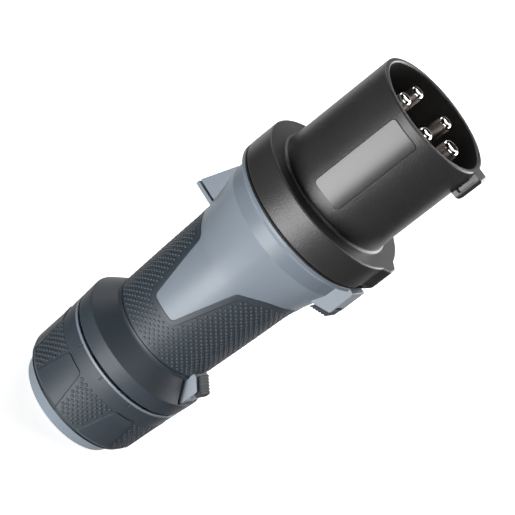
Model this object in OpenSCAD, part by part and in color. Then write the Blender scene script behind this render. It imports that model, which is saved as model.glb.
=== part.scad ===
// Industrial plug, 63 A, three phases with neutral, earth and pilot, and a screwed cable gland.
// Sizes are in millimetres. The plug stands on its gland nut: Z = 0 is the nut's rear face,
// +Z runs along the axis to the mouth, and +X is the side of the two lock slides.

/* [Gland nut] */
// Length of the nut from its rear face to its front rim
nut_len = 46.6; // [42:0.2:58]
// Bore for the cable
cable_bore_d = 39; // [30:0.5:41]
// Diameter of the rear face
nut_rear_d = 62.6; // [58:0.2:66]
// Diameter of the bare rear ring where the grip starts
nut_ring_d = 68; // [66:0.2:70]
// Length of the bare rear ring
nut_ring_len = 8.5; // [5:0.1:10]
// Diameter of the grip at its rear end
nut_grip_rear_d = 75; // [74:0.2:78]
// Diameter of the grip and the rim at the front
nut_front_d = 79.6; // [78:0.2:84]
// Length of the bare front rim
nut_rim_len = 1.5; // [0.7:0.1:3]
// Wall of the nut outside its thread
nut_wall = 2.1; // [1.6:0.1:2.6]
// Height of the smooth panels on the grip
panel_rise = 0.45; // [0.2:0.05:0.8]
// Number of smooth panels
panel_count = 6; // [4:1:8]
// Turn of the first panel from the viewer's side
panel_turn = -7; // [-30:1:30]
// Number of lock notches in the front rim
notch_count = 12; // [6:1:12]

/* [Cable gland inside] */
// Bore of the cable seal
seal_bore_d = 30; // [20:1:34]
// Length of the cable seal
seal_len = 15.5; // [12:0.5:18]
// Number of fingers on the clamp basket
finger_count = 12; // [8:2:16]
// Thickness of a finger at its free end
finger_wall = 2.3; // [1.8:0.1:2.8]

/* [Housing] */
// Outer diameter of the threaded neck under the nut
neck_d = 66; // [64:0.5:67]
// Length of the neck behind the collar
neck_len = 33; // [28:0.5:36]
// Gap between the nut's rim and the housing's collar
rim_gap = 1.4; // [0.8:0.1:3]
// Length of the dark collar in front of the nut
collar_len = 10; // [8:0.5:16]
// Diameter of that collar
collar_d = 81.6; // [80:0.2:86]
// Length of the conical shoulder
shoulder_len = 11.7; // [8:0.1:16]
// Diameter of the waist, where the handle is thinnest
waist_d = 63.8; // [62:0.2:68]
// Length of the handle from the waist to the start of the flare
handle_len = 59.3; // [45:0.5:90]
// Diameter of the handle where the flare starts
handle_front_d = 68.8; // [67:0.2:72]
// Length of the flare
flare_len = 31.5; // [24:0.5:45]
// Diameter at the end of the flare
flare_d = 82; // [81:0.2:86]
// Length of the straight part between the flare and the rim
mouth_len = 10.9; // [9:0.1:14]
// Diameter of the housing's front rim
rim_d = 92; // [91:0.2:96]
// Thickness of the front rim
rim_len = 2.35; // [2:0.05:5]
// Thickness of the soft grip over the handle
grip_wall = 1.8; // [1.2:0.1:2.2]
// Wall of the housing
shell_wall = 2.6; // [2:0.1:3]
// Width of the bare tongue at its rear end
tongue_rear_w = 16.2; // [10:0.2:22]
// Width of the bare tongue where it meets the cone
tongue_front_w = 34.6; // [26:0.2:44]
// Length of the handle behind the tongue's rear end
tongue_start = 22.3; // [12:0.1:32]

/* [Lug and lock slides] */
// Width of the lug opposite the lock slides
lug_w = 12; // [8:0.5:16]
// Height of the lug's top above the axis
lug_top = 48.5; // [46:0.1:52]
// Width of the lock slides
slide_w = 9.6; // [8:0.2:11]
// Wall of the slide guides
guide_wall = 1.5; // [1.2:0.1:2.5]
// Travel of each lock slide
slide_travel = 4; // [3.5:0.1:4.5]
// Height of the front guide above the axis
front_guide_top = 48.7; // [48.5:0.1:52]
// Height of the rear guide above the axis
rear_guide_top = 39.6; // [39.4:0.1:40.6]
// Width of the tooth that enters the nut's rim
tooth_w = 3.6; // [2:0.2:4]

/* [Front collar] */
// Diameter of the flange
flange_d = 92.2; // [91:0.2:97]
// Thickness of the flange
flange_len = 17.7; // [12:0.1:22]
// Outer diameter of the shroud
shroud_d = 70.9; // [70:0.1:72]
// Wall of the shroud
shroud_wall = 2.95; // [2.5:0.05:3.5]
// Length of the shroud in front of the flange
shroud_len = 67.2; // [60:0.1:82]
// Depth of the mouth from the rim to the floor round the pins
mouth_depth = 50; // [46:0.5:56]
// Turn of the collar in the housing, from the lock slides to the key
insert_turn = 11.5; // [-30:0.5:30]
// Height of the key above the shroud
key_rise = 5.4; // [4:0.1:7]
// Width of the key
key_w = 10.6; // [8:0.2:13]
// Length of the key from the mouth
key_len = 15.8; // [12:0.1:24]
// Height of the locating bump above the flange
bump_rise = 3.2; // [2:0.1:5]

/* [Contacts] */
// Diameter of the circle that the pins stand on
pin_circle_d = 36; // [35:0.2:38]
// Diameter of the phase and neutral pins
phase_pin_d = 8; // [6:0.5:9]
// Diameter of the earth pin
earth_pin_d = 10; // [8:0.5:11]
// Diameter of the pilot pin
pilot_pin_d = 6; // [4:0.5:7]
// Distance from the mouth's rim down to the pins' tips
pin_drop = 2; // [1:0.5:6]
// Distance from the mouth's rim down to the pilot pin's tip
pilot_drop = 15; // [10:0.5:24]
// Diameter of the terminal barrels
barrel_d = 12.4; // [11:0.2:13]
// Length of the terminal barrels behind the carrier
barrel_len = 20; // [16:0.5:24]
// Diameter of the wire holes in the barrels
wire_hole_d = 8.4; // [6:0.2:9]
// Thickness of the carrier
carrier_len = 16; // [12:0.5:20]

/* [Hidden] */
$fn = 96;

// Colours
light_grey = "#9aa3ae";
soft_dark = "#4b5157";
moulded_black = "#3a3838";
rubber_black = "#202022";
carrier_black = "#2b2b2d";
nickel = "#c9c6bf";
zinc = "#b4b4b0";

// Clearances and small edges
eps = 0.05;
turn_gap = 0.3;
slide_gap = 0.3;
seat_gap = 0.2;
seam = 0.6;
screw_gap = 0.05;
pin_gap = 0.1;
edge_r = 0.8;
far = 70;

// Stations along the axis
collar_z = nut_len + rim_gap;
shoulder_z = collar_z + collar_len;
waist_z = shoulder_z + shoulder_len;
flare_z = waist_z + handle_len;
flare_end_z = flare_z + flare_len;
housing_end_z = flare_end_z + mouth_len + rim_len;
flange_z = housing_end_z + seam;
shroud_z = flange_z + flange_len;
mouth_z = shroud_z + shroud_len;
floor_z = mouth_z - mouth_depth;
floor_len = 6;
carrier_front_z = floor_z - floor_len;
carrier_z = carrier_front_z - carrier_len;
barrel_z = carrier_z - barrel_len;
neck_z = collar_z - neck_len;

// Radii that fit to each other
neck_r = neck_d / 2;
neck_wall = 4.5;
neck_bore_r = neck_r - neck_wall;
nut_thread_r = neck_r + turn_gap;
nut_core_r = nut_thread_r + nut_wall;
cable_r = cable_bore_d / 2;
nut_front_r = nut_front_d / 2;
shroud_r = shroud_d / 2;
shroud_bore_r = shroud_r - shroud_wall;
flange_r = flange_d / 2;
flare_r = flare_d / 2;
mouth_bore_r = flare_r - 3.7;
skirt_r = mouth_bore_r - turn_gap;
skirt_len = 16;

// Outlines: [x, y, radius] corners become a list of points with arcs
function flat(p) = [p[0], p[1]];
function arc_corner(a, b, c, r, n = 5) =
    let (
        u = (a - b) / norm(a - b),
        v = (c - b) / norm(c - b),
        half = acos(u * v) / 2,
        centre = b + (u + v) / norm(u + v) * r / sin(half),
        first = b + u * r / tan(half) - centre,
        last = b + v * r / tan(half) - centre
    )
    [for (k = [0:n]) let (w = first * (n - k) + last * k) centre + w / norm(w) * r];
function rounded(p) =
    let (n = len(p))
    [for (i = [0:n - 1])
        each (p[i][2] == undef || p[i][2] == 0
            ? [flat(p[i])]
            : arc_corner(flat(p[(i + n - 1) % n]), flat(p[i]), flat(p[(i + 1) % n]), p[i][2]))];

// A ring turned from an outline of [radius, height, corner radius] points
module turned(outline) rotate_extrude() polygon(rounded(outline));

// A plate whose outline lies in the X-Z plane, centred on Y = 0
module side_plate(outline, width)
    rotate([90, 0, 0]) linear_extrude(width, center = true) polygon(rounded(outline));

// A block that runs outwards from the axis, with its outline given across and along the plug
module outward(outline, reach)
    rotate([90, 0, 90]) linear_extrude(reach) polygon(rounded(outline));

module ring_of(count, first = 0) for (i = [0:count - 1]) rotate([0, 0, first + i * 360 / count]) children();

// The nut's lock notches lie between its thread and its front rim
notch_root_wall = nut_wall - 1.3;
notch_cover = 1.5;
notch_low_r = nut_thread_r + notch_root_wall;
notch_high_r = nut_front_r - notch_cover;
notch_w = tooth_w + 2 * slide_gap;
notch_depth = slide_travel - rim_gap + 0.8;
rim_skin = 0.6;
rim_lip = 0.45;
rim_sink = 1.2;
rim_block_r = notch_high_r + rim_skin;
rim_block_len = notch_depth + 1;
tooth_low_r = notch_low_r + slide_gap;
tooth_high_r = notch_high_r - slide_gap;

// The clamp basket closes in a cone behind the thread
lip_len = 3;
finger_gap = 0.4;
finger_z = lip_len + finger_gap;
basket_bore_r = cable_r + 0.5;
finger_tip_r = basket_bore_r + finger_wall;
basket_z = neck_z - 3;
basket_ring_len = 5.2;
basket_r = neck_bore_r - turn_gap;
finger_root_r = basket_r - 1.8;
seal_z = basket_z + basket_ring_len + turn_gap;
seal_end_z = seal_z + seal_len;

module nut_core() color(light_grey) difference() {
    turned([
        [cable_r, 0], [nut_rear_d / 2, 0, edge_r], [nut_ring_d / 2, nut_ring_len],
        [nut_core_r, nut_ring_len], [nut_core_r, nut_len - rim_block_len - 1],
        [rim_block_r, nut_len - rim_block_len], [rim_block_r, nut_len - nut_rim_len],
        [nut_front_r, nut_len - nut_rim_len], [nut_front_r, nut_len, 0.2],
        [nut_front_r - rim_lip, nut_len], [notch_high_r + 0.2, nut_len - rim_sink],
        [nut_thread_r, nut_len - rim_sink], [nut_thread_r, basket_z - finger_gap],
        [finger_root_r + finger_gap, basket_z - finger_gap], [finger_tip_r + finger_gap, lip_len],
        [cable_r, lip_len]]);
    ring_of(notch_count) translate([notch_low_r, -notch_w / 2, nut_len - notch_depth])
        cube([notch_high_r - notch_low_r, notch_w, notch_depth + 1]);
}

// Outer face of the nut's grip, from its rounded rear edge to the front rim
nut_grip_r = nut_grip_rear_d / 2;
grip_lip = 0.9;
grip_shoulder_len = 2.4;
grip_middle_len = 22;
nut_collar_len = 6.5;
nut_collar_taper = 0.4;
function nut_face(rise) = [
    [nut_ring_d / 2 + grip_lip + rise, nut_ring_len + rise, 0.5],
    [nut_grip_r + rise, nut_ring_len + grip_shoulder_len + rise, 1.8],
    [nut_grip_r + grip_lip + rise, nut_ring_len + grip_middle_len, 30],
    [nut_front_r - nut_collar_taper + rise, nut_len - nut_collar_len, 12],
    [nut_front_r + rise, nut_len - nut_rim_len]];

panel_rear_w = 23.8;
panel_front_w = 13;
panel_end_z = nut_len - 11;
panel_root_r = nut_core_r + 0.6;
tick_len = 2.8;
tick_w = 0.7;
tick_depth = 0.4;

module nut_grip() color(soft_dark) difference() {
    union() {
        turned(concat(nut_face(0), [
            [rim_block_r, nut_len - nut_rim_len], [rim_block_r, nut_len - rim_block_len],
            [nut_core_r, nut_len - rim_block_len - 1], [nut_core_r, nut_ring_len]]));
        ring_of(panel_count, panel_turn - 90) intersection() {
            turned(concat(nut_face(panel_rise), [[panel_root_r, nut_len - nut_rim_len],
                [panel_root_r, nut_ring_len + panel_rise]]));
            outward([[-panel_rear_w / 2, nut_ring_len - 1], [panel_rear_w / 2, nut_ring_len - 1],
                [panel_front_w / 2, panel_end_z, 2.4], [-panel_front_w / 2, panel_end_z, 2.4]], far);
        }
    }
    ring_of(notch_count, 15)
        translate([nut_front_r - 0.1 - tick_depth, -tick_w / 2, nut_len - nut_rim_len - tick_len])
            cube([5, tick_w, tick_len + 1]);
}

finger_slot = 2.2;
module clamp_basket() color(moulded_black) difference() {
    turned([
        [basket_bore_r, finger_z], [finger_tip_r, finger_z, 0.5], [finger_root_r, basket_z],
        [basket_r, basket_z], [basket_r, basket_z + basket_ring_len, 0.5],
        [basket_bore_r, basket_z + basket_ring_len, 0.8]]);
    ring_of(finger_count) translate([basket_bore_r - 1, -finger_slot / 2, finger_z - 1])
        cube([finger_root_r + 3 - basket_bore_r, finger_slot, basket_z - finger_z + 1]);
}

// The seal's peel-off layers show as ring grooves on its rear face
layer_step = 3.4;
layer_groove = 0.7;
layer_depth = 5;
module gland_seal() color(rubber_black) difference() {
    turned([
        [seal_bore_d / 2, seal_z, 0.8], [neck_bore_r - turn_gap, seal_z, 0.8],
        [neck_bore_r - turn_gap, seal_end_z, 2], [seal_bore_d / 2, seal_end_z, 1.2]]);
    for (r = [seal_bore_d / 2 + layer_step:layer_step:neck_bore_r - 3])
        turned([[r, seal_z - 1], [r + layer_groove, seal_z - 1],
            [r + layer_groove, seal_z + layer_depth], [r, seal_z + layer_depth]]);
}

// Outer skin of the handle: collar, shoulder, waist, handle, flare and rim
handle_bulge = 0.25;
bare_drop = 0.25;
flare_power = 1.4;
waist_r = waist_d / 2;
handle_r = handle_front_d / 2;
collar_r = collar_d / 2;
rim_r = rim_d / 2;
function handle_skin(t, drop = 0) =
    [waist_r - drop + (handle_r - waist_r) * (t + handle_bulge * t * (1 - t)), waist_z + t * handle_len];
function flare_skin(t, drop = 0, fade = 1) =
    [handle_r - drop * (1 - fade * t) + (flare_r - handle_r) * pow(t, flare_power), flare_z + t * flare_len];
function skin(drop = 0, fade = 1) = concat(
    [[collar_r - 0.8, collar_z, 0.7], [collar_r, shoulder_z, 0.8], [waist_r - drop, waist_z, 3]],
    [for (k = [1:6]) handle_skin(k / 6, drop)],
    [for (k = [1:12]) flare_skin(k / 12, drop, fade)],
    [[flare_r + 0.1, housing_end_z - rim_len - 2, 2.2], [rim_r, housing_end_z - rim_len, 0.8],
        [rim_r, housing_end_z, 0.4]]);

// Surface between the hard shell and the soft grip
function grip_seat() = [
    [collar_r - 2.6, collar_z - 1], [collar_r - 2.6, shoulder_z - 1.2],
    [waist_r - grip_wall, waist_z - 1], [handle_r - grip_wall, flare_z],
    [handle_r - grip_wall + 2.4, flare_z + 14], [0, flare_z + 14], [0, collar_z - 1]];

// Inside of the shell, from the neck's mouth to the collar's thread
shell_bore_r = waist_r - grip_wall - shell_wall;
handle_bore_r = handle_r - grip_wall - shell_wall;
seal_seat_r = neck_bore_r - 4.5;
seal_seat_z = seal_end_z + seat_gap;
skirt_z = housing_end_z - skirt_len;
module shell_bore() turned([
    [0, neck_z - 1], [neck_bore_r, neck_z - 1], [neck_bore_r, seal_seat_z], [seal_seat_r, seal_seat_z],
    [seal_seat_r, seal_seat_z + 3], [shell_bore_r, seal_seat_z + 6], [shell_bore_r, waist_z],
    [handle_bore_r, flare_z], [flare_skin(0.5)[0] - shell_wall - 0.6, flare_skin(0.5)[1]],
    [mouth_bore_r, skirt_z - 1], [mouth_bore_r, housing_end_z + 1], [0, housing_end_z + 1]]);

// Bare part of the handle, seen along Y: two tongues and the cone in front of the grip
tongue_z = waist_z + tongue_start;
bare_lock_z = flare_z + 13;
bare_lug_z = flare_z + 3;
tongue_root_z = flare_z + 1;
bare_edge = [
    [-far, bare_lug_z], [-handle_r + 6, bare_lug_z + 0.5, 20], [-tongue_front_w / 2, tongue_root_z, 4],
    [-tongue_rear_w / 2, tongue_z, 2.6], [tongue_rear_w / 2, tongue_z, 2.6],
    [tongue_front_w / 2, tongue_root_z, 4], [handle_r - 4, bare_lock_z - 2.5, 20], [far, bare_lock_z]];
module bare_area()
    side_plate(concat(bare_edge, [[far, housing_end_z + 10], [-far, housing_end_z + 10]]), 3 * far);

module skin_solid(drop = 0, fade = 1)
    turned(concat(skin(drop, fade), [[0, housing_end_z], [0, collar_z]]));

// Nub field of the grip: sunk behind a smooth border that follows the edge of the bare part
field_depth = 0.45;
field_border = 2.7;
field_z = waist_z + 1.4;
function right_of(a, b) = let (d = (b - a) / norm(b - a)) [d[1], -d[0]];
function moved_edge(p, gap) =
    let (last = len(p) - 1)
    [for (i = [0:last])
        let (
            here = flat(p[i]),
            before = i > 0 ? right_of(flat(p[i - 1]), here) : right_of(here, flat(p[1])),
            after = i < last ? right_of(here, flat(p[i + 1])) : before,
            place = here + (before + after) * gap / (1 + before * after),
            r = p[i][2] == undef ? 0 : max(p[i][2] + sign(cross(before, after)) * gap, 0)
        )
        [place[0], place[1], r]];
module nub_field() difference() {
    side_plate(concat(moved_edge(bare_edge, field_border), [[far, field_z], [-far, field_z]]), 3 * far);
    skin_solid(field_depth, 0);
}

// Lug on the far side from the lock slides, with a slot behind its wedge
lug_z = flare_z + 4;
lug_plate = 2.2;
lug_slot = 1.3;
module lug() difference() {
    side_plate([
        [-shell_bore_r, lug_z], [-lug_top, lug_z, 0.5], [-lug_top, lug_z + lug_plate + 1, 2.5],
        [-flare_r - 0.2, flare_end_z - 2], [-shell_bore_r, flare_end_z - 2]], lug_w);
    translate([-far, -lug_w, lug_z + lug_plate]) cube([far - flare_skin(0.25)[0], 2 * lug_w, lug_slot]);
}

// Lock guides: a block with a channel for the slide, open where the slide's head stands
guide_w = slide_w + 2 * (slide_gap + guide_wall);
channel_w = slide_w + 2 * slide_gap;

// Front guide and slide; the slide's nose locks the flange
front_guide_z = flare_end_z - 8.5;
front_head_z = front_guide_z - 3;
front_head_len = 9.6;
front_roof_z = front_head_z + front_head_len + 2.6;
front_bar_top = front_guide_top - 3.8;
front_bar_low = flare_r + 1.6;
front_head_low = flare_skin(0.7)[0] + 0.5;
front_bar_end_z = housing_end_z - rim_len - 2;
nose_w = 6;
nose_len = 3;
module front_guide() side_plate([
    [shell_bore_r, front_guide_z], [flare_skin(0.73)[0], front_guide_z],
    [front_guide_top, front_guide_z + 5.3, 1], [front_guide_top, housing_end_z, 0.6],
    [shell_bore_r, housing_end_z]], guide_w);
module nose_way() translate([front_bar_low - slide_gap, -nose_w / 2 - slide_gap, housing_end_z - 0.5])
    cube([far, nose_w + 2 * slide_gap, flange_z + nose_len + slide_gap + 0.5 - housing_end_z]);
module front_channel() {
    side_plate([
        [front_head_low - slide_gap, front_guide_z - 4], [front_head_low - slide_gap, front_head_z],
        [front_bar_low - slide_gap, front_head_z + front_head_len - slide_gap],
        [front_bar_low - slide_gap, front_bar_end_z + 0.5],
        [front_bar_top + slide_gap, front_bar_end_z + 0.5],
        [front_bar_top + slide_gap, front_roof_z], [far, front_roof_z], [far, front_guide_z - 4]], channel_w);
    translate([front_bar_low - slide_gap, -nose_w / 2 - slide_gap, front_roof_z])
        cube([front_bar_top - front_bar_low + 2 * slide_gap, nose_w + 2 * slide_gap,
            housing_end_z - front_roof_z + 1]);
}
rib_count = 5;
rib_depth = 0.45;
module front_lock_slide() color(soft_dark) {
    head_top = front_guide_top;
    ramp = [head_top - front_head_low, 4.6];
    difference() {
        union() {
            side_plate([
                [front_head_low, front_head_z, 0.4], [head_top, front_head_z + ramp[1], 1.6],
                [head_top, front_head_z + front_head_len, 0.4],
                [front_bar_top, front_head_z + front_head_len],
                [front_bar_top, front_bar_end_z], [front_bar_low, front_bar_end_z],
                [front_bar_low, front_head_z + front_head_len]], slide_w);
            translate([front_bar_low, -nose_w / 2, front_bar_end_z - eps])
                cube([front_bar_top - front_bar_low, nose_w, flange_z + nose_len - front_bar_end_z + eps]);
        }
        for (i = [1:rib_count])
            translate([front_head_low + ramp[0] * i / (rib_count + 1), 0,
                front_head_z + ramp[1] * i / (rib_count + 1)])
                rotate([0, atan2(ramp[0], ramp[1]), 0])
                    cube([2 * rib_depth, slide_w + 1, 0.8], center = true);
    }
}

// Rear guide and slide; the slide's tooth locks the nut
rear_guide_z = shoulder_z + 0.2;
rear_guide_end_z = waist_z + 4.8;
rear_head_len = 8.4;
rear_head_end_z = rear_guide_end_z + 1.4;
rear_head_z = rear_head_end_z - rear_head_len;
rear_roof_z = rear_head_z - 1.3;
rear_roof_top = rear_guide_top - 0.7;
rear_step_z = rear_head_z - slide_travel - 0.7;
rear_bar_low = tooth_low_r;
rear_bar_top = min(tooth_high_r, rear_guide_top - 1.4 - slide_gap);
rear_head_low = waist_r + 1.2;
rear_head_top = rear_guide_top + 2.3;
pocket_side = 3.4;
module rear_guide() side_plate([
    [shell_bore_r + 1, rear_guide_z], [rear_guide_top - 0.4, rear_guide_z, 0.5],
    [rear_guide_top, waist_z + 0.6, 1], [waist_r + 1.2, rear_guide_end_z, 0.6],
    [shell_bore_r + 1, rear_guide_end_z]], guide_w);
module rear_channel() {
    side_plate([
        [rear_bar_low - slide_gap, rear_guide_z + 0.6], [rear_bar_top + slide_gap, rear_guide_z + 0.6],
        [rear_bar_top + slide_gap, rear_roof_z], [rear_roof_top, rear_roof_z],
        [rear_roof_top, rear_step_z], [far, rear_step_z], [far, rear_guide_end_z + 3],
        [rear_head_low - slide_gap, rear_guide_end_z + 3], [rear_head_low - slide_gap, rear_step_z],
        [rear_bar_low - slide_gap, rear_step_z]], channel_w);
    translate([tooth_low_r - slide_gap, -notch_w / 2, collar_z - 1])
        cube([tooth_high_r - tooth_low_r + 2 * slide_gap, notch_w, rear_guide_z + 2 - collar_z]);
}
pocket_lining = 1;
module shoulder_pocket(sink = 0) side_plate([
    [collar_r - 4.2 - sink, rear_guide_z - sink], [far, rear_guide_z - sink], [far, waist_z + 1],
    [waist_r - sink, waist_z + 1], [waist_r - 1.8 - sink, waist_z - 2.6]],
    guide_w + 2 * (pocket_side + sink));
module shell_seat() difference() {
    turned(grip_seat());
    shoulder_pocket(pocket_lining);
}
module rear_lock_slide() color(soft_dark) {
    bar_z = rear_guide_z + 0.6 + slide_travel + slide_gap;
    tooth_z = collar_z + seat_gap;
    slot_end_z = rear_roof_z + slide_travel + slide_gap;
    ramp = [rear_head_low + 0.4 - rear_head_top, 5.2];
    difference() {
        union() {
            side_plate([
                [rear_bar_low, bar_z], [rear_bar_top, bar_z], [rear_bar_top, slot_end_z],
                [rear_roof_top + slide_gap, slot_end_z], [rear_roof_top + slide_gap, rear_head_z],
                [rear_head_top, rear_head_z, 0.4], [rear_head_top, rear_head_end_z - ramp[1], 1.6],
                [rear_head_low + 0.4, rear_head_end_z, 0.4], [rear_head_low, rear_head_end_z - 0.6],
                [rear_head_low, rear_head_z + 0.6], [rear_bar_low, rear_head_z]], slide_w);
            translate([tooth_low_r, -tooth_w / 2, tooth_z])
                cube([rear_bar_top - tooth_low_r, tooth_w, bar_z + eps - tooth_z]);
        }
        for (i = [1:rib_count])
            translate([rear_head_top + ramp[0] * i / (rib_count + 1), 0,
                rear_head_end_z - ramp[1] + ramp[1] * i / (rib_count + 1)])
                rotate([0, atan2(ramp[0], ramp[1]), 0])
                    cube([2 * rib_depth, slide_w + 1, 0.8], center = true);
    }
}

// Seal groove in the housing's front rim
seal_r = mouth_bore_r + 3;
bead_half_w = 1.3;
groove_half_w = bead_half_w + seat_gap;
groove_z = housing_end_z - 2.6;
seal_edge = 0.5;
module seal_groove() turned([
    [seal_r - groove_half_w, groove_z], [seal_r + groove_half_w, groove_z],
    [seal_r + groove_half_w, housing_end_z + 1], [seal_r - groove_half_w, housing_end_z + 1]]);
module flange_seal() color(rubber_black) difference() {
    turned([
        [mouth_bore_r + seal_edge, housing_end_z + eps], [seal_r - bead_half_w, housing_end_z + eps],
        [seal_r - bead_half_w, groove_z + seat_gap, 0.6], [seal_r + bead_half_w, groove_z + seat_gap, 0.6],
        [seal_r + bead_half_w, housing_end_z + eps], [rim_r - seal_edge, housing_end_z + eps],
        [rim_r - seal_edge, flange_z - eps], [mouth_bore_r + seal_edge, flange_z - eps]]);
    nose_way();
}

module housing_shell() color(light_grey) difference() {
    union() {
        turned([[0, neck_z], [neck_r, neck_z, 1], [neck_r, collar_z + 1], [0, collar_z + 1]]);
        intersection() {
            shell_seat();
            skin_solid();
        }
        intersection() {
            skin_solid(bare_drop);
            bare_area();
        }
        lug();
        front_guide();
        rear_guide();
    }
    shell_bore();
    front_channel();
    rear_channel();
    seal_groove();
}

module housing_grip() color(soft_dark) difference() {
    skin_solid();
    shell_seat();
    bare_area();
    nub_field();
    rear_guide();
    rear_channel();
    shoulder_pocket();
}

// Shroud, flange, key and bump are one moulding; its own 6 o'clock side is turned from the lock slides
flange_edge_r = 0.9;
shroud_root_r = 1.6;
flange_step = 1.4;
flange_step_len = 0.9;
shroud_taper = 0.3;
pad_len = 52.8;
pad_drop = 5.6;
pad_w = 18.2;
pad_rise = 0.4;
pad_root_r = shroud_bore_r + 0.6;
pad_corner_r = 2.2;
pad_z = mouth_z - pad_drop - pad_len;
bump_w = 17.2;
bump_top_w = 7.2;
key_root_r = shroud_bore_r + 0.6;
key_r = shroud_r + key_rise;
key_edge_r = 2.4;
key_pocket = 1.4;
key_pocket_top = key_r - key_edge_r - 0.3;
module key() difference() {
    intersection() {
        linear_extrude(mouth_z) polygon(rounded([
            [key_root_r, -key_w / 2], [key_r, -key_w / 2, key_edge_r], [key_r, key_w / 2, key_edge_r],
            [key_root_r, key_w / 2]]));
        side_plate([[key_root_r, mouth_z - key_len], [key_r, mouth_z - key_len, 2.4],
            [key_r, mouth_z, 1.6], [key_root_r, mouth_z]], 2 * key_w);
    }
    for (side = [-1, 1]) translate([0, side * key_w / 2, 0])
        side_plate([
            [shroud_r, mouth_z - key_len + 3], [key_pocket_top, mouth_z - key_len + 3, 0.5],
            [key_pocket_top, mouth_z - 2.6, 0.5], [shroud_r, mouth_z - 2.6]], 2 * key_pocket);
}
bump_foot_r = flange_r - 0.8;
flank_turn = atan2(bump_rise + 0.8, (bump_w - bump_top_w) / 2);
flank_r = bump_foot_r * cos(flank_turn) + bump_w / 2 * sin(flank_turn);
module bump_flank(side) rotate([0, 0, side * flank_turn]) side_plate([
    [0, flange_z], [flank_r, flange_z], [flank_r, shroud_z, flange_edge_r], [0, shroud_z]], 2 * far);
module bump() intersection() {
    linear_extrude(shroud_z) polygon(rounded([
        [shroud_r, -bump_w / 2], [bump_foot_r, -bump_w / 2], [flange_r + bump_rise, -bump_top_w / 2, 3],
        [flange_r + bump_rise, bump_top_w / 2, 3], [bump_foot_r, bump_w / 2], [shroud_r, bump_w / 2]]));
    bump_flank(-1);
    bump_flank(1);
    side_plate([
        [shroud_r - 1, flange_z], [flange_r - 0.5, flange_z], [flange_r + bump_rise + eps, flange_z + 4.5, 2],
        [flange_r + bump_rise + eps, shroud_z, flange_edge_r], [shroud_r - 1, shroud_z]], 2 * bump_w);
}
module raised_pad() intersection() {
    outward([
        [-pad_w / 2, pad_z, pad_corner_r], [pad_w / 2, pad_z, pad_corner_r],
        [pad_w / 2, pad_z + pad_len, pad_corner_r], [-pad_w / 2, pad_z + pad_len, pad_corner_r]], far);
    turned([
        [pad_root_r, pad_z - 1], [shroud_r + pad_rise, pad_z - 1],
        [shroud_r + pad_rise, mouth_z - 2], [pad_root_r, mouth_z - 2]]);
}
module front_collar() color(moulded_black) difference() {
    union() {
        turned([
            [shroud_bore_r, skirt_z + 1], [skirt_r, skirt_z + 1, 0.6],
            [skirt_r, flange_z], [flange_r - flange_step, flange_z],
            [flange_r - flange_step, flange_z + flange_step_len], [flange_r, flange_z + flange_step_len, 0.4],
            [flange_r, shroud_z, flange_edge_r], [shroud_r + shroud_taper, shroud_z, shroud_root_r],
            [shroud_r, shroud_z + 6],
            [shroud_r, mouth_z, 1.1], [shroud_bore_r, mouth_z, 1.1],
            [shroud_bore_r, floor_z], [0, floor_z], [0, carrier_front_z], [shroud_bore_r, carrier_front_z]]);
        rotate([0, 0, insert_turn]) {
            key();
            bump();
            rotate([0, 0, -90]) raised_pad();
        }
    }
    rotate([0, 0, insert_turn]) {
        each_pin() cylinder(h = far, r = $pin_r + pin_step + pin_gap, center = true);
        each_carrier_screw()
            cylinder(h = 2 * carrier_screw_bite + 1, r = carrier_screw_r + screw_gap, center = true);
    }
    nose_way();
}

// Places of the pins round the carrier: earth at the key, then the phases and neutral
pole_step = 72;
pin_step = 0.4;
shank_step = 1.5;
tip_round = 2.6;
module at_pole(i, r) rotate([0, 0, i * pole_step]) translate([pin_circle_d / 2, 0, floor_z]) {
    $pin_r = r;
    children();
}
module each_pin() {
    at_pole(0, earth_pin_d / 2) children();
    for (i = [1:4]) at_pole(i, phase_pin_d / 2) children();
    translate([0, 0, floor_z]) {
        $pin_r = pilot_pin_d / 2;
        children();
    }
}

// One turned contact: rounded tip, collar in the floor, shank in the carrier and terminal barrel
wire_hole_depth = barrel_len - 2;
screw_step = 8.5;
first_screw_z = barrel_z + 5.5;
terminal_screw_r = 2.3;
pilot_barrel_d = 9;
pilot_wire_hole_d = 5.6;
module contact(r, tip_z, barrel_r, wire_hole_r, screws) difference() {
    rotate_extrude() {
        difference() {
            union() {
                translate([0, floor_z]) square([r, tip_z - tip_round - floor_z]);
                translate([0, tip_z - tip_round - eps]) square([r - tip_round, tip_round + eps]);
                translate([r - tip_round, tip_z - tip_round]) circle(tip_round);
            }
            translate([-far, 0]) square([far, 2 * mouth_z]);
        }
        translate([0, carrier_front_z]) square([r + pin_step, floor_len]);
        translate([0, carrier_z]) square([r + shank_step, carrier_len]);
        translate([0, barrel_z]) square([barrel_r, barrel_len]);
    }
    translate([0, 0, barrel_z - 1]) cylinder(h = wire_hole_depth + 1, r = wire_hole_r);
    for (z = screws) translate([0, 0, z]) rotate([0, 90, 0])
        cylinder(h = far, r = terminal_screw_r + screw_gap);
}
both_screws = [first_screw_z, first_screw_z + screw_step];
module pole_contact(i, r) color(nickel) rotate([0, 0, insert_turn + i * pole_step])
    translate([pin_circle_d / 2, 0, 0])
        contact(r, mouth_z - pin_drop, barrel_d / 2, wire_hole_d / 2, both_screws);
module pin_pe() pole_contact(0, earth_pin_d / 2);
module pin_l1() pole_contact(1, phase_pin_d / 2);
module pin_l2() pole_contact(2, phase_pin_d / 2);
module pin_l3() pole_contact(3, phase_pin_d / 2);
module pin_n() pole_contact(4, phase_pin_d / 2);
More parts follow.
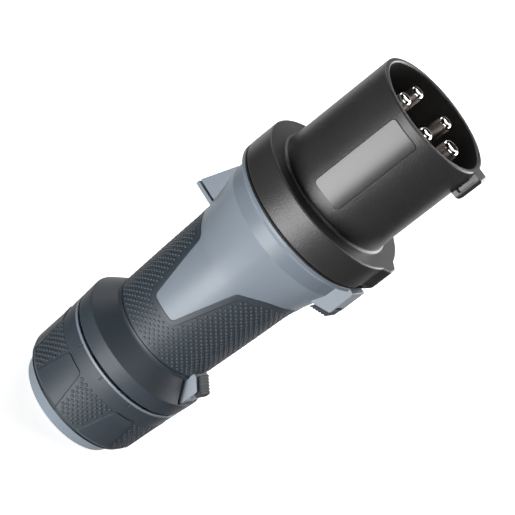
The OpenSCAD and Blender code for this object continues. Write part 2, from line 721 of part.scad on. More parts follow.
module pilot_pin() color(nickel) rotate([0, 0, insert_turn + pole_step / 2])
    contact(pilot_pin_d / 2, mouth_z - pilot_drop, pilot_barrel_d / 2, pilot_wire_hole_d / 2,
        [first_screw_z]);

// Slotted clamping screw that points at the axis of its barrel
screw_reach = 1.6;
screw_head_gap = 0.3;
screw_head_len = 2.4;
screw_head_step = 1.2;
slot_w = 1;
slot_depth = 1.1;
module terminal_screw(barrel, hole) rotate([0, 90, 0]) difference() {
    head_z = barrel + screw_head_gap;
    union() {
        translate([0, 0, hole - screw_reach])
            cylinder(h = head_z - hole + screw_reach + eps, r = terminal_screw_r);
        translate([0, 0, head_z]) cylinder(h = screw_head_len, r = terminal_screw_r + screw_head_step);
    }
    translate([-far, -slot_w / 2, head_z + screw_head_len - slot_depth]) cube([2 * far, slot_w, 5]);
}
module terminal_screws() color(zinc) rotate([0, 0, insert_turn]) {
    for (i = [0:4], z = both_screws) rotate([0, 0, i * pole_step])
        translate([pin_circle_d / 2, 0, z]) terminal_screw(barrel_d / 2, wire_hole_d / 2);
    rotate([0, 0, pole_step / 2]) translate([0, 0, first_screw_z])
        terminal_screw(pilot_barrel_d / 2, pilot_wire_hole_d / 2);
}

// Carrier block with a partition between each two terminals
partition_w = 2;
carrier_screw_r = 1.6;
carrier_head_r = 2.9;
carrier_head_len = 2.4;
carrier_head_seat = 3;
carrier_screw_bite = 4;
carrier_screw_circle_r = shroud_bore_r - 4.1;
carrier_screw_poles = [0.5, 1.5, 3.5];
module each_carrier_screw() for (i = carrier_screw_poles)
    rotate([0, 0, i * pole_step]) translate([carrier_screw_circle_r, 0, carrier_front_z]) children();
module contact_carrier() color(carrier_black) rotate([0, 0, insert_turn]) difference() {
    union() {
        turned([
            [0, carrier_z], [shroud_bore_r - seat_gap, carrier_z, 0.6],
            [shroud_bore_r - seat_gap, carrier_front_z, 0.6], [0, carrier_front_z]]);
        for (i = [1:4]) rotate([0, 0, (i + 0.5) * pole_step])
            translate([barrel_d / 2, -partition_w / 2, barrel_z + 2])
                cube([pin_circle_d / 2 + 6 - barrel_d / 2, partition_w, carrier_z - barrel_z - 2 + eps]);
    }
    each_pin() cylinder(h = 2 * far, r = $pin_r + shank_step + pin_gap, center = true);
    each_carrier_screw() {
        cylinder(h = far, r = carrier_screw_r + pin_gap, center = true);
        translate([0, 0, carrier_head_seat - carrier_len - far])
            cylinder(h = far, r = carrier_head_r + pin_gap);
    }
}
module carrier_screws() color(zinc) rotate([0, 0, insert_turn]) each_carrier_screw() difference() {
    union() {
        translate([0, 0, carrier_head_seat - 1 - carrier_len])
            cylinder(h = carrier_len + carrier_screw_bite - carrier_head_seat + 1, r = carrier_screw_r);
        translate([0, 0, carrier_head_seat - carrier_head_len - carrier_len])
            cylinder(h = carrier_head_len, r = carrier_head_r);
    }
    translate([-far, -slot_w / 2, carrier_head_seat - carrier_head_len - carrier_len - far])
        cube([2 * far, slot_w, far + slot_depth]);
}

nut_core();
nut_grip();
clamp_basket();
gland_seal();
housing_shell();
housing_grip();
front_lock_slide();
rear_lock_slide();
flange_seal();
front_collar();
contact_carrier();
pin_l1();
pin_l2();
pin_l3();
pin_n();
pin_pe();
pilot_pin();
terminal_screws();
carrier_screws();
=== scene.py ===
import math

import bpy
from mathutils import Matrix, Vector


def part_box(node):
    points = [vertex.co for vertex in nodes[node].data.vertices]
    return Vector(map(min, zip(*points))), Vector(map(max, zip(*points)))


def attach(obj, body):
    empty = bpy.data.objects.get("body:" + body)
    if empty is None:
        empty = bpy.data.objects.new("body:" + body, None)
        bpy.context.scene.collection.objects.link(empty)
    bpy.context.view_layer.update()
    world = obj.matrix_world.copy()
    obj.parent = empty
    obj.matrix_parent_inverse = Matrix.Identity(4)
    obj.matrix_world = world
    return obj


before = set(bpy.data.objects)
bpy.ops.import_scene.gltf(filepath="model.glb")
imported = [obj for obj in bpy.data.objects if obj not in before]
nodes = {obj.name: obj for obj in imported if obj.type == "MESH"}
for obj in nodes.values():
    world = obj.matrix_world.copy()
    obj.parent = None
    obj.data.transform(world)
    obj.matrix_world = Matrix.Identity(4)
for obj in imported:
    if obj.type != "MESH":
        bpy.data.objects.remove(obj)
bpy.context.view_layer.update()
bpy.context.scene.view_settings.view_transform = "Standard"


# Contact pins: brass turned on a lathe to a rounded tip, nickel-plated and pressed through the
# collar's floor. The plating is bright, with faint rings left by the tool and small cloudy patches; the
# shafts are painted darker and warmer, a painted reflection of the shroud's dark inside.
tip_nickel, shaft_nickel_painted_dark = (0.78, 0.76, 0.73, 1), (0.68, 0.6, 0.57, 1)
tip_len, rings_per_metre = 0.0027, 2500
mm_in_metre = 1000.0


def fill_sockets(tree, node, **values):
    """Links or sets a node's sockets; _0 is its first socket, and elsewhere _ stands for a space."""
    for name, value in values.items():
        key = int(name[1:]) if name[1:].isdigit() else name.replace("_", " ")
        if isinstance(value, bpy.types.NodeSocket):
            tree.links.new(value, node.inputs[key])
        else:
            node.inputs[key].default_value = value
    return node


def add_node(tree, kind, settings=None, **values):
    """A new node with its settings, and its sockets linked or set."""
    node = tree.nodes.new(kind)
    for name, value in (settings or {}).items():
        setattr(node, name, value)
    return fill_sockets(tree, node, **values)


def reckon(tree, operation, *values):
    """The result of a Math node on these values."""
    sockets = {f"_{number}": value for number, value in enumerate(values)}
    return add_node(tree, "ShaderNodeMath", {"operation": operation}, **sockets).outputs[0]


def blend(tree, kind, share, first, second):
    """The result of a Mix node between two colours, numbers or vectors."""
    mix = add_node(tree, "ShaderNodeMix", {"data_type": kind}, Factor=share, A=first, B=second)
    return mix.outputs["Result"]


def scaled(tree, color, by):
    """A colour made lighter or darker by a number."""
    product = add_node(tree, "ShaderNodeVectorMath", {"operation": "SCALE"}, _0=color, Scale=by)
    return product.outputs["Vector"]


def new_finish(name):
    """A new material, with its node tree and its shader."""
    finish = bpy.data.materials.new(name)
    finish.use_nodes = True
    tree = finish.node_tree
    return finish, tree, tree.nodes["Principled BSDF"]


def new_effect(name, inputs, outputs):
    """A new node group and its two inner ends; an input's value says whether it is a colour or a number."""
    effect = bpy.data.node_groups.new(name, "ShaderNodeTree")
    for socket, value in inputs.items():
        kind = "NodeSocketColor" if isinstance(value, tuple) else "NodeSocketFloat"
        effect.interface.new_socket(socket, in_out="INPUT", socket_type=kind).default_value = value
    for socket, kind in outputs.items():
        effect.interface.new_socket(socket, in_out="OUTPUT", socket_type=kind)
    start = effect.nodes.new("NodeGroupInput")
    end = effect.nodes.new("NodeGroupOutput")
    return effect, start.outputs, end.inputs


def place_effect(tree, effect, **values):
    """A node group placed in a tree with its own values, and its outputs."""
    return add_node(tree, "ShaderNodeGroup", {"node_tree": effect}, **values).outputs


def wear_finish(finish, *names):
    """Gives CAD nodes a finish in place of their own."""
    for name in names:
        nodes[name].data.materials.clear()
        nodes[name].data.materials.append(finish)


# Cloud: a slow change of tone and gloss over a surface, as handling and plating leave it, its size in mm
cloud, cloud_in, cloud_out = new_effect(
    "cloud", {"Color": (0.5, 0.5, 0.5, 1), "Size": 20.0, "Tone": 0.05, "Roughness": 0.4, "Spread": 0.05},
    {"Color": "NodeSocketColor", "Roughness": "NodeSocketFloat"})
place = add_node(cloud, "ShaderNodeTexCoord").outputs["Object"]
per_metre = reckon(cloud, "DIVIDE", mm_in_metre, cloud_in["Size"])
patches = add_node(cloud, "ShaderNodeTexNoise", Vector=place, Scale=per_metre, Detail=3.0)
centred = reckon(cloud, "SUBTRACT", patches.outputs["Fac"], 0.5)
shade = reckon(cloud, "MULTIPLY_ADD", centred, cloud_in["Tone"], 1.0)
gloss = reckon(cloud, "MULTIPLY_ADD", centred, cloud_in["Spread"], cloud_in["Roughness"])
cloud.links.new(scaled(cloud, cloud_in["Color"], shade), cloud_out["Color"])
cloud.links.new(gloss, cloud_out["Roughness"])


def nickel_plating(name, shaft_end):
    """Plated brass, brushed round by the lathe up to the shaft's end and polished on the tip above it."""
    finish, tree, shader = new_finish(name)
    place = add_node(tree, "ShaderNodeTexCoord").outputs["Object"]
    height = add_node(tree, "ShaderNodeSeparateXYZ", Vector=place).outputs["Z"]
    shaft = reckon(tree, "LESS_THAN", height, shaft_end)
    gloss = add_node(tree, "ShaderNodeMapRange", Value=shaft, To_Min=0.1, To_Max=0.33)
    # The shaft's nickel is painted darker and warmer than the tip's, a painted reflection of the shroud's
    # dark inside.
    plating = place_effect(tree, cloud, Color=blend(tree, "RGBA", shaft, tip_nickel, shaft_nickel_painted_dark),
                           Size=3.0, Tone=0.12, Roughness=gloss.outputs[0], Spread=0.08)
    rings = add_node(tree, "ShaderNodeMapping", Vector=place, Scale=(0, 0, rings_per_metre))
    tool_marks = add_node(tree, "ShaderNodeTexNoise", Vector=rings.outputs[0], Scale=1.0, Detail=2.0)
    depth = add_node(tree, "ShaderNodeMapRange", Value=shaft, To_Min=0.03, To_Max=0.1)
    lathe = add_node(tree, "ShaderNodeBump", Strength=depth.outputs[0], Distance=0.00005,
                     Height=tool_marks.outputs["Fac"])
    round_axis = add_node(tree, "ShaderNodeTangent", {"direction_type": "RADIAL", "axis": "Z"})
    fill_sockets(tree, shader, Base_Color=plating["Color"], Roughness=plating["Roughness"], Metallic=1.0,
                 Anisotropic=0.85, Anisotropic_Rotation=0.25, Tangent=round_axis.outputs[0],
                 Normal=lathe.outputs[0])
    return finish


nickel = nickel_plating("bright_nickel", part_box("pin_pe")[1][2] - tip_len)
pilot_nickel = nickel_plating("pilot_nickel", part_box("pilot_pin")[1][2] - tip_len)
wear_finish(nickel, "pin_l1", "pin_l2", "pin_l3", "pin_n", "pin_pe")
wear_finish(pilot_nickel, "pilot_pin")


# Screws: zinc-plated steel with small cloudy patches. They sit in the pins' terminal barrels, and three
# more go through the carrier into the collar's floor.
zinc, tree, shader = new_finish("zinc_steel")
plating = place_effect(tree, cloud, Color=(0.55, 0.55, 0.53, 1), Size=1.5, Tone=0.25,
                       Roughness=0.34, Spread=0.2)
fill_sockets(tree, shader, Base_Color=plating["Color"], Roughness=plating["Roughness"], Metallic=1.0)
wear_finish(zinc, "terminal_screws", "carrier_screws")


# Contact carrier: a thermoset block behind the collar's floor that holds the pins apart.
# It is dark and dull, with a fine grain from its mould.
carrier_dark = (0.025, 0.025, 0.027, 1)

# Soft edge: rounds a sharp moulded edge in the shading and marks where it is
soft_edge, edge_in, edge_out = new_effect(
    "soft_edge", {"Radius": 0.0004}, {"Normal": "NodeSocketVector", "Edge": "NodeSocketFloat"})
rounding = add_node(soft_edge, "ShaderNodeBevel", {"samples": 6}, Radius=edge_in["Radius"]).outputs[0]
true_normal = add_node(soft_edge, "ShaderNodeNewGeometry").outputs["Normal"]
alike = add_node(soft_edge, "ShaderNodeVectorMath", {"operation": "DOT_PRODUCT"},
                 _0=rounding, _1=true_normal)
edge = add_node(soft_edge, "ShaderNodeMapRange", Value=alike.outputs["Value"],
                From_Min=0.98, From_Max=0.75)
soft_edge.links.new(rounding, edge_out["Normal"])
soft_edge.links.new(edge.outputs[0], edge_out["Edge"])

# Mould grain: fine pits on slower waves, as a spark-eroded mould leaves them, their size in mm
grain, grain_in, grain_out = new_effect(
    "mould_grain", {"Size": 0.6, "Coarse": 0.35}, {"Height": "NodeSocketFloat"})
place = add_node(grain, "ShaderNodeTexCoord").outputs["Object"]
per_metre = reckon(grain, "DIVIDE", mm_in_metre, grain_in["Size"])
pits = add_node(grain, "ShaderNodeTexNoise", Vector=place, Scale=per_metre, Detail=4.0, Roughness=0.6)
slower = reckon(grain, "MULTIPLY", per_metre, 0.2)
waves = add_node(grain, "ShaderNodeTexNoise", Vector=place, Scale=slower, Detail=2.0)
both = reckon(grain, "MULTIPLY_ADD", waves.outputs["Fac"], grain_in["Coarse"], pits.outputs["Fac"])
grain.links.new(both, grain_out["Height"])


def grained(tree, strength, size, **base):
    """The normal of a moulded face with its grain, on the Normal that it is given, if any."""
    height = place_effect(tree, grain, Size=size)["Height"]
    bump = add_node(tree, "ShaderNodeBump", Strength=strength, Distance=0.0001, Height=height, **base)
    return bump.outputs[0]


thermoset, tree, shader = new_finish("carrier_thermoset")
tone = place_effect(tree, cloud, Color=carrier_dark, Size=8.0, Tone=0.3, Roughness=0.55, Spread=0.15)
rounded = place_effect(tree, soft_edge, Radius=0.0003)
fill_sockets(tree, shader, Base_Color=tone["Color"], Roughness=tone["Roughness"],
             Normal=grained(tree, 0.2, 0.8, Normal=rounded["Normal"]))
wear_finish(thermoset, "contact_carrier")


# Front collar and clamp basket: charcoal polyamide, injection-moulded with a fine satin grain. The
# collar is one piece with its shroud, flange, key and bump, and its edges carry a painted highlight
# that makes them a little paler; the raised plate on the shroud is polished in the mould.
charcoal_tone, charcoal_highlight = (0.033, 0.0318, 0.0313, 1), (0.07, 0.068, 0.066, 1)
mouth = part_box("front_collar")[1][2]
shroud_radius, plate_rise, plate_gloss = 0.03545, 0.0004, 0.27
plate_margin = 0.9 * plate_rise
plate_low, plate_high = mouth - 0.0595, mouth - 0.0045
plate_turn, plate_flatness = math.radians(-63.5), 0.3

# Edge highlight: a painted highlight that gives a moulded edge a paler tone
edge_highlight, highlight_in, highlight_out = new_effect(
    "edge_highlight", {"Color": (0.1, 0.1, 0.1, 1), "Pale": (0.2, 0.2, 0.2, 1), "Edge": 0.0, "Share": 0.5},
    {"Color": "NodeSocketColor"})
share = reckon(edge_highlight, "MULTIPLY", highlight_in["Edge"], highlight_in["Share"])
edge_lit = blend(edge_highlight, "RGBA", share, highlight_in["Color"], highlight_in["Pale"])
edge_highlight.links.new(edge_lit, highlight_out["Color"])


def about_axis(tree):
    """A point's X, Y and Z, its part across the plug's axis, and its distance from the axis."""
    place = add_node(tree, "ShaderNodeTexCoord").outputs["Object"]
    place = add_node(tree, "ShaderNodeSeparateXYZ", Vector=place).outputs
    across = add_node(tree, "ShaderNodeCombineXYZ", X=place["X"], Y=place["Y"]).outputs[0]
    length = add_node(tree, "ShaderNodeVectorMath", {"operation": "LENGTH"}, _0=across)
    return place, across, length.outputs["Value"]


def between(tree, value, low, high):
    """One where a value lies between low and high, and nought elsewhere."""
    return reckon(tree, "COMPARE", value, (low + high) / 2, (high - low) / 2)


def evened(tree, vector):
    """A vector at unit length."""
    return add_node(tree, "ShaderNodeVectorMath", {"operation": "NORMALIZE"}, _0=vector).outputs["Vector"]


charcoal, tree, shader = new_finish("charcoal_polyamide")
tone = place_effect(tree, cloud, Color=charcoal_tone, Size=26.0, Tone=0.25, Roughness=0.37, Spread=0.08)
rounded = place_effect(tree, soft_edge, Radius=0.0006)
# Painted highlight: the collar's edges are made a paler tone.
edge_lit = place_effect(tree, edge_highlight, Color=tone["Color"], Pale=charcoal_highlight,
                      Edge=rounded["Edge"], Share=0.5)
place, across, radius = about_axis(tree)
on_face = reckon(tree, "COMPARE", radius, shroud_radius + plate_rise, plate_margin)
plate = reckon(tree, "MULTIPLY", on_face, between(tree, place["Z"], plate_low, plate_high))
depth = add_node(tree, "ShaderNodeMapRange", Value=plate, To_Min=0.5, To_Max=0.06)
satin = add_node(tree, "ShaderNodeBump", Strength=depth.outputs[0], Distance=0.0003,
                 Height=place_effect(tree, grain, Size=1.0, Coarse=0.0)["Height"], Normal=rounded["Normal"])
flatter = blend(tree, "VECTOR", plate_flatness, evened(tree, across),
                (math.cos(plate_turn), math.sin(plate_turn), 0))
inner_plate = reckon(tree, "MULTIPLY", plate, reckon(tree, "SUBTRACT", 1.0, rounded["Edge"]))
facing = blend(tree, "VECTOR", inner_plate, satin.outputs[0], flatter)
fill_sockets(tree, shader, Base_Color=edge_lit["Color"], Specular_IOR_Level=0.62,
             Roughness=blend(tree, "FLOAT", plate, tone["Roughness"], plate_gloss),
             Normal=evened(tree, facing))
wear_finish(charcoal, "front_collar", "clamp_basket")


# Seals: moulded black rubber. A flat ring with a bead is pressed between the flange and the housing,
# and a ring of peel-off layers lies in the gland, where the clamp basket closes it on a cable.
rubber_black = (0.014, 0.014, 0.015, 1)
rubber, tree, shader = new_finish("sealing_rubber")
tone = place_effect(tree, cloud, Color=rubber_black, Size=5.0, Tone=0.4, Roughness=0.68, Spread=0.15)
fill_sockets(tree, shader, Base_Color=tone["Color"], Roughness=tone["Roughness"],
             Normal=grained(tree, 0.25, 0.5))
wear_finish(rubber, "flange_seal", "gland_seal")


# Housing shell and the nut's core: light blue-grey polyamide with a satin mould face. The shell
# carries the cone, the bare tongues, the lug and the two lock guides in one moulding.
light_tone, light_highlight = (0.185, 0.221, 0.262, 1), (0.36, 0.4, 0.45, 1)
light_grey, tree, shader = new_finish("light_polyamide")
tone = place_effect(tree, cloud, Color=light_tone, Size=30.0, Tone=0.1, Roughness=0.4, Spread=0.1)
rounded = place_effect(tree, soft_edge, Radius=0.0005)
# Painted highlight: the shell's edges are made a paler tone.
edge_lit = place_effect(tree, edge_highlight, Color=tone["Color"], Pale=light_highlight,
                      Edge=rounded["Edge"], Share=0.4)
shell_satin = grained(tree, 0.15, 0.7, Normal=rounded["Normal"])
fill_sockets(tree, shader, Base_Color=edge_lit["Color"], Roughness=tone["Roughness"], Normal=shell_satin)
wear_finish(light_grey, "housing_shell", "nut_core")


# Neck thread: the ridge on the shell's neck that the gland nut turns on, moulded with the shell.
# It is a low bar of trapezoid section, wound right-handed up the neck and clear of the nut's bore, and
# the shell's finish deepens the groove between its turns.
neck_start, neck_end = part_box("housing_shell")[0][2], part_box("nut_core")[1][2]
neck_radius, thread_rise, thread_sink = 0.033, 0.0002, 0.0003
thread_pitch, thread_turns, steps_a_turn = 0.004, 7, 72
root_width, crest_share = 0.0024, 0.55
thread_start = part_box("housing_shell")[0][2] + 0.002
groove_reach = 1.25 * thread_rise


def choose(piece, kind, chosen):
    """Opens a piece in edit mode with only the chosen corners or faces selected."""
    bpy.ops.object.mode_set(mode="EDIT")
    bpy.ops.mesh.select_mode(type=kind)
    bpy.ops.mesh.select_all(action="DESELECT")
    bpy.ops.object.mode_set(mode="OBJECT")
    for part in piece.data.vertices if kind == "VERT" else piece.data.polygons:
        part.select = chosen(part)
    bpy.ops.object.mode_set(mode="EDIT")


bar_middle = Vector((neck_radius + (thread_rise - thread_sink) / 2, 0, thread_start))
bar_depth = thread_rise + thread_sink
bpy.ops.object.select_all(action="DESELECT")
bpy.ops.mesh.primitive_plane_add(size=root_width, location=bar_middle, rotation=(math.pi / 2, 0, 0))
neck_thread = bpy.context.object
neck_thread.name = "neck_thread"
bpy.ops.object.transform_apply()
bpy.ops.object.mode_set(mode="EDIT")
bpy.ops.transform.resize(value=(bar_depth / root_width, 1, 1), center_override=bar_middle)
choose(neck_thread, "VERT", lambda corner: corner.co.x > neck_radius)
bpy.ops.transform.resize(value=(1, 1, crest_share), center_override=bar_middle)
bpy.ops.mesh.select_all(action="SELECT")
bpy.ops.mesh.delete(type="ONLY_FACE")
bpy.ops.object.mode_set(mode="OBJECT")
winding = neck_thread.modifiers.new("winding", "SCREW")
winding.axis = "Z"
winding.screw_offset = thread_pitch
winding.iterations = thread_turns
winding.steps = winding.render_steps = steps_a_turn
bpy.ops.object.modifier_apply(modifier="winding")
bpy.ops.object.mode_set(mode="EDIT")
bpy.ops.mesh.select_all(action="SELECT")
bpy.ops.mesh.remove_doubles(threshold=0.000001)
bpy.ops.mesh.fill_holes(sides=4)
bpy.ops.mesh.select_all(action="SELECT")
bpy.ops.mesh.normals_make_consistent(inside=False)
bpy.ops.object.mode_set(mode="OBJECT")
bpy.ops.object.shade_smooth_by_angle(angle=math.radians(15))
neck_thread.data.materials.append(light_grey)
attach(neck_thread, "housing")

tree = light_grey.node_tree
place, across, radius = about_axis(tree)
climb = reckon(tree, "MULTIPLY_ADD", place["Z"], 1 / thread_pitch, -thread_start / thread_pitch)
part_turn = reckon(tree, "DIVIDE", reckon(tree, "ARCTAN2", place["Y"], place["X"]), 2 * math.pi)
off_crest = reckon(tree, "PINGPONG", reckon(tree, "SUBTRACT", climb, part_turn), 0.5)
ridge = add_node(tree, "ShaderNodeMapRange", Value=off_crest, From_Min=0.36, From_Max=0.16)
on_neck = reckon(tree, "MULTIPLY", reckon(tree, "LESS_THAN", radius, neck_radius + groove_reach),
                 between(tree, place["Z"], neck_start, neck_end))
thread_height = reckon(tree, "MULTIPLY", ridge.outputs[0], on_neck)
grooved = add_node(tree, "ShaderNodeBump", Strength=1.0, Distance=0.001, Height=thread_height,
                   Normal=shell_satin)
fill_sockets(tree, tree.nodes["Principled BSDF"], Normal=grooved.outputs[0])


# Handle grip: dark slate elastomer moulded over the housing, with a field of flat-topped nubs
# between its smooth border, the tongues and the rear edge. These nubs are painted a little paler, a
# painted highlight on their tops, and painted shade darkens the ground and rings round them.
slate_tone, slate_highlight = (0.0285, 0.04, 0.052, 1), (0.08, 0.092, 0.105, 1)
nub_lit_tone = (0.048, 0.063, 0.078, 1)
nub_sink, nub_top_share, nub_round_share = 0.00025, 0.76, 0.32
grip_radius, outside_radius = 0.034, 0.08
probe_share, level_tolerance = 0.7, 0.00025

# Recess shade: painted shade that darkens the colour of a corner or gap where little light reaches
recess_shade, recess_in, recess_out = new_effect(
    "recess_shade", {"Color": (0.1, 0.1, 0.1, 1), "Reach": 0.001, "Strength": 0.5}, {"Color": "NodeSocketColor"})
nearby = add_node(recess_shade, "ShaderNodeAmbientOcclusion", {"samples": 8}, Distance=recess_in["Reach"])
depth = add_node(recess_shade, "ShaderNodeMapRange", Value=nearby.outputs["AO"], From_Min=0.95, From_Max=0.5,
                 To_Max=recess_in["Strength"])
unshaded = reckon(recess_shade, "SUBTRACT", 1.0, depth.outputs[0])
recess_shade.links.new(scaled(recess_shade, recess_in["Color"], unshaded), recess_out["Color"])

elastomer, tree, shader = new_finish("slate_elastomer")
tone = place_effect(tree, cloud, Color=slate_tone, Size=22.0, Tone=0.2, Roughness=0.48, Spread=0.12)
rounded = place_effect(tree, soft_edge, Radius=0.0005)
# Painted highlight: the grips' edges are made a paler tone.
edge_lit = place_effect(tree, edge_highlight, Color=tone["Color"], Pale=slate_highlight,
                      Edge=rounded["Edge"], Share=0.35)
# Painted shade darkens the ground between the nubs and other corners of the grips.
shaded_ground = place_effect(tree, recess_shade, Color=edge_lit["Color"], Reach=0.0009, Strength=0.9)
fill_sockets(tree, shader, Base_Color=shaded_ground["Color"], Roughness=tone["Roughness"],
             Normal=grained(tree, 0.18, 0.6, Normal=rounded["Normal"]))
wear_finish(elastomer, "housing_grip", "nut_grip")

# The nubs' paler tone is a painted highlight for the light that catches their tops.
lit_nub_face, tree, shader = new_finish("nub_elastomer")
tone = place_effect(tree, cloud, Color=nub_lit_tone, Size=9.0, Tone=0.3, Roughness=0.42, Spread=0.15)
# Painted shade darkens a ring round the foot of each nub.
shade_ringed = place_effect(tree, recess_shade, Color=tone["Color"], Reach=0.0006, Strength=0.9)
fill_sockets(tree, shader, Base_Color=shade_ringed["Color"], Roughness=tone["Roughness"],
             Normal=grained(tree, 0.1, 0.6))


def surface_at(node, angle, z):
    """Place and normal where a line from outside to the axis meets a CAD node, or nothing."""
    outward = Vector((math.cos(angle), math.sin(angle), 0))
    start = outward * outside_radius + Vector((0, 0, z))
    hit, place, normal, _ = nodes[node].ray_cast(start, -outward, distance=outside_radius)
    return (place, normal) if hit else None


def model_nub(across, rise):
    """One flat-topped nub that stands on Z, sunk a little into the grip."""
    bpy.ops.object.select_all(action="DESELECT")
    bpy.ops.mesh.primitive_cylinder_add(vertices=8, radius=across / 2, depth=rise + nub_sink,
                                        location=(0, 0, (rise - nub_sink) / 2))
    nub = bpy.context.object
    bpy.ops.object.transform_apply()
    choose(nub, "FACE", lambda face: face.normal.z > 0.9)
    bpy.ops.transform.resize(value=(nub_top_share, nub_top_share, 1))
    bpy.ops.mesh.bevel(offset=nub_round_share * across / 2, segments=2, affect="EDGES")
    bpy.ops.object.mode_set(mode="OBJECT")
    return nub


def on_field(node, middle, across, level_angle):
    """Whether the grip lies at its field's level all round a nub."""
    level = surface_at(node, level_angle, middle.z)
    if not level:
        return False
    angle, probe = math.atan2(middle.y, middle.x), probe_share * across
    for aside, along in ((0, 0), (probe, 0), (-probe, 0), (0, probe), (0, -probe)):
        met = surface_at(node, angle + aside / grip_radius, middle.z + along)
        if not met or abs(met[0].xy.length - level[0].xy.length) > level_tolerance:
            return False
    return True


def lay_nubs(name, node, finish, across, rise, first_z, last_z, pitch, rows, level_angle):
    """Two staggered rows of nubs on the grip's face, turned round the axis; those off the field go."""
    nub = model_nub(across, rise)
    corners = len(nub.data.vertices)
    copies, step = [], 2 * math.pi / rows
    for row in range(2):
        z = first_z + row * pitch / 2
        while z < last_z:
            place, normal = surface_at(node, level_angle, z)
            copy = nub.copy()
            copy.data = nub.data.copy()
            bpy.context.scene.collection.objects.link(copy)
            tilt = Vector((0, 0, 1)).rotation_difference(normal).to_matrix().to_4x4()
            copy.matrix_world = Matrix.Rotation(row * step, 4, "Z") @ Matrix.Translation(place) @ tilt
            copies.append(copy)
            z += pitch
    bpy.data.objects.remove(nub)
    bpy.ops.object.select_all(action="DESELECT")
    for copy in copies:
        copy.select_set(True)
    bpy.context.view_layer.objects.active = copies[0]
    bpy.ops.object.join()
    field = bpy.context.object
    field.name = name
    bpy.ops.object.transform_apply()
    bpy.ops.object.mode_set(mode="EDIT")
    bpy.ops.mesh.select_all(action="SELECT")
    bpy.ops.mesh.spin(steps=rows // 2 - 1, dupli=True, angle=2 * math.pi - 2 * step,
                      center=(0, 0, 0), axis=(0, 0, 1))
    bpy.ops.object.mode_set(mode="OBJECT")
    points, stray = field.data.vertices, set()
    for first in range(0, len(points), corners):
        own = range(first, first + corners)
        middle = sum((points[i].co for i in own), Vector()) / corners
        if not on_field(node, middle, across, level_angle):
            stray.update(own)
    choose(field, "VERT", lambda corner: corner.index in stray)
    bpy.ops.mesh.delete(type="VERT")
    bpy.ops.object.mode_set(mode="OBJECT")
    bpy.ops.object.shade_smooth_by_angle(angle=math.radians(50))
    field.data.materials.clear()
    field.data.materials.append(finish)
    return field


bpy.context.view_layer.update()
handle_nubs = lay_nubs("handle_nubs", "housing_grip", lit_nub_face, across=0.002, rise=0.00038, first_z=0.0735,
                       last_z=0.1355, pitch=0.0035, rows=110, level_angle=math.radians(25))
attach(handle_nubs, "housing")


# Nut grip: the same elastomer moulded over the gland nut, smooth on six raised panels. Larger nubs of
# the grip's own tone fill the fields between the panels.
nut_nubs = lay_nubs("nut_nubs", "nut_grip", elastomer, across=0.0023, rise=0.00036, first_z=0.0125,
                    last_z=0.0355, pitch=0.0036, rows=132, level_angle=math.radians(-67))
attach(nut_nubs, "nut")


# Lock slides: dark glass-filled polyamide, moulded with thumb ribs and dull from its filler. Each runs
# in its guide on the housing, the front one against the collar and the rear one against the nut.
slide_tone = (0.026, 0.033, 0.04, 1)
slide_dark, tree, shader = new_finish("dull_polyamide")
tone = place_effect(tree, cloud, Color=slide_tone, Size=6.0, Tone=0.3, Roughness=0.6, Spread=0.15)
rounded = place_effect(tree, soft_edge, Radius=0.0003)
# Painted shade darkens the gaps between the thumb ribs and other corners of the slides.
rib_shaded = place_effect(tree, recess_shade, Color=tone["Color"], Reach=0.001, Strength=0.7)
fill_sockets(tree, shader, Base_Color=rib_shaded["Color"], Roughness=tone["Roughness"], Specular_IOR_Level=0.22,
             Normal=grained(tree, 0.25, 0.5, Normal=rounded["Normal"]))
wear_finish(slide_dark, "front_lock_slide", "rear_lock_slide")


# Studio table: a pale board that the plug stands on. It shows white to the camera, a little less so
# near the plug, and keeps a soft shadow; the white room round it lights the plug faintly.
table_grey, table_width, table_gap, room_light = (0.6, 0.6, 0.6, 1), 6, 0.0001, 0.09
near_glow, far_glow, near_end, far_start = 0.85, 1.0, 0.25, 0.9


def seen_ray(tree):
    """One for rays that show a surface to the camera, directly, in gloss or through glass."""
    path = add_node(tree, "ShaderNodeLightPath").outputs
    seen = reckon(tree, "MAXIMUM", path["Is Camera Ray"], path["Is Glossy Ray"])
    return reckon(tree, "MAXIMUM", seen, path["Is Transmission Ray"])


bpy.ops.object.select_all(action="DESELECT")
bpy.ops.mesh.primitive_plane_add(size=table_width, location=(0, 0, -table_gap))
floor = bpy.context.object
floor.name = "studio_table"
bpy.ops.object.transform_apply()
table_white, tree, shader = new_finish("table_white")
tree.nodes.remove(shader)
lit = add_node(tree, "ShaderNodeBsdfDiffuse", Color=table_grey)
place = add_node(tree, "ShaderNodeTexCoord").outputs["Object"]
away = add_node(tree, "ShaderNodeVectorMath", {"operation": "LENGTH"}, _0=place)
whiter = add_node(tree, "ShaderNodeMapRange", Value=away.outputs["Value"], From_Min=near_end,
                  From_Max=far_start, To_Min=near_glow, To_Max=far_glow)
glow = add_node(tree, "ShaderNodeEmission", Color=(1, 1, 1, 1),
                Strength=reckon(tree, "MULTIPLY", seen_ray(tree), whiter.outputs[0]))
table = add_node(tree, "ShaderNodeAddShader", _0=lit.outputs[0], _1=glow.outputs[0])
fill_sockets(tree, tree.nodes["Material Output"], Surface=table.outputs[0])
floor.data.materials.append(table_white)
floor.visible_shadow = False
floor.visible_glossy = False

world = bpy.data.worlds.new("studio")
world.use_nodes = True
bpy.context.scene.world = world
tree = world.node_tree
level = add_node(tree, "ShaderNodeMapRange", Value=seen_ray(tree), To_Min=room_light, To_Max=1.0)
fill_sockets(tree, tree.nodes["Background"], Color=(1, 1, 1, 1), Strength=level.outputs[0])


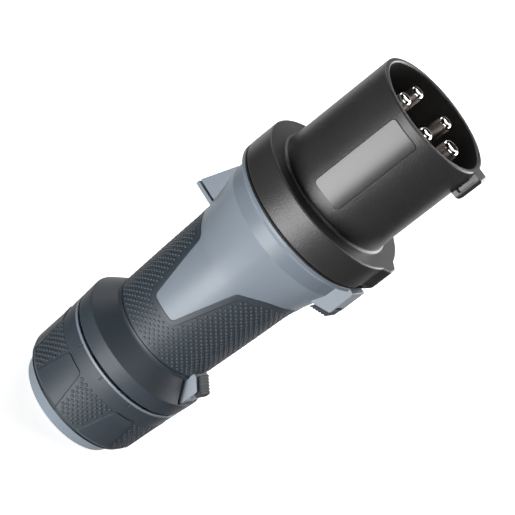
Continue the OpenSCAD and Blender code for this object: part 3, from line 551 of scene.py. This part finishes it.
# Lamps: soft boxes before, above and behind the plug. The strips and the cards beside it show only as
# gloss, and the fill behind it only as plain light, so that the pins don't mirror it.
view_turn, view_rise, view_roll = math.radians(14.5), math.radians(23.55), math.radians(38.2)
lamp_aim = Vector((0, 0, 0.13))


def toward(turn, rise):
    """Direction from the plug to a place at this turn round it and this rise above it."""
    return Vector((math.sin(turn) * math.cos(rise), -math.cos(turn) * math.cos(rise), math.sin(rise)))


def soft_box(name, turn, rise, distance, width, height, watts, diffuse=True, glossy=True):
    """An area lamp that faces the plug, placed by its angles in degrees from the camera's side."""
    away = toward(view_turn + math.radians(turn), math.radians(rise))
    lamp = bpy.data.objects.new(name, bpy.data.lights.new(name, "AREA"))
    lamp.data.shape = "RECTANGLE"
    lamp.data.size, lamp.data.size_y, lamp.data.energy = width, height, watts
    bpy.context.scene.collection.objects.link(lamp)
    lamp.location = lamp_aim + away * distance
    lamp.rotation_euler = away.to_track_quat("Z", "Y").to_euler()
    lamp.visible_camera = False
    lamp.visible_diffuse, lamp.visible_glossy = diffuse, glossy


soft_box("key_box", turn=-6, rise=-22, distance=0.8, width=0.55, height=0.5, watts=9)
soft_box("top_box", turn=170, rise=78, distance=1.2, width=1.0, height=1.0, watts=3)
soft_box("back_box", turn=145, rise=24, distance=1.0, width=0.7, height=0.7, watts=9)
soft_box("rear_fill", turn=-165, rise=15, distance=1.1, width=0.8, height=0.8, watts=8, glossy=False)
soft_box("brow_strip", turn=20, rise=30, distance=1.2, width=0.9, height=0.3, watts=3.5, diffuse=False)
soft_box("edge_strip", turn=180, rise=62, distance=1.2, width=1.2, height=0.16, watts=6, diffuse=False)
soft_box("right_card", turn=112, rise=20, distance=1.2, width=0.75, height=0.5, watts=5, diffuse=False)
soft_box("left_card", turn=-118, rise=20, distance=1.2, width=0.6, height=0.45, watts=2.8, diffuse=False)


# Dark studio wall: a black curtain all round, seen only in reflections. Its lower part is open behind
# the plug, where the white background shines on the pins and along the edges.
curtain_radius, curtain_folds = 2.2, 72
black_cloth, tree, shader = new_finish("black_curtain")
fill_sockets(tree, shader, Base_Color=(0.01, 0.01, 0.01, 1), Roughness=1.0)
for name, low, high, opening in (("upper_curtain", 0.7, 6.0, (0, 0)),
                                 ("lower_curtain", -2.0, 0.7, (138, 226))):
    bpy.ops.object.select_all(action="DESELECT")
    bpy.ops.mesh.primitive_cylinder_add(vertices=curtain_folds, radius=curtain_radius, depth=high - low,
                                        end_fill_type="NOTHING", location=(0, 0, (low + high) / 2))
    curtain = bpy.context.object
    curtain.name = name
    bpy.ops.object.transform_apply()
    turns = [math.degrees(math.atan2(face.center.x, -face.center.y) - view_turn) % 360
             for face in curtain.data.polygons]
    choose(curtain, "FACE", lambda face: opening[0] < turns[face.index] < opening[1])
    bpy.ops.mesh.delete(type="FACE")
    bpy.ops.object.mode_set(mode="OBJECT")
    curtain.data.materials.append(black_cloth)
    curtain.visible_camera = curtain.visible_diffuse = curtain.visible_transmission = False
    curtain.visible_shadow = False


# Camera: a long lens from the viewer's side, aimed a little above the plug's middle and rolled so
# that the plug lies across the picture.
camera_aim, camera_distance = Vector((0, 0, 0.1371)), 1.255
camera = bpy.data.objects.new("camera", bpy.data.cameras.new("camera"))
bpy.context.scene.collection.objects.link(camera)
bpy.context.scene.camera = camera
camera.data.sensor_width = 36
camera.data.lens = 171.26
camera.data.shift_x, camera.data.shift_y = 0.0029, -0.0041
back = toward(view_turn, view_rise)
level_right = Vector((math.cos(view_turn), math.sin(view_turn), 0))
level_up = back.cross(level_right)
right = math.sin(view_roll) * level_right + math.cos(view_roll) * level_up
up = -math.cos(view_roll) * level_right + math.sin(view_roll) * level_up
pointing = Matrix((right, up, back)).transposed().to_4x4()
camera.matrix_world = Matrix.Translation(camera_aim + back * camera_distance) @ pointing

bpy.context.view_layer.update()
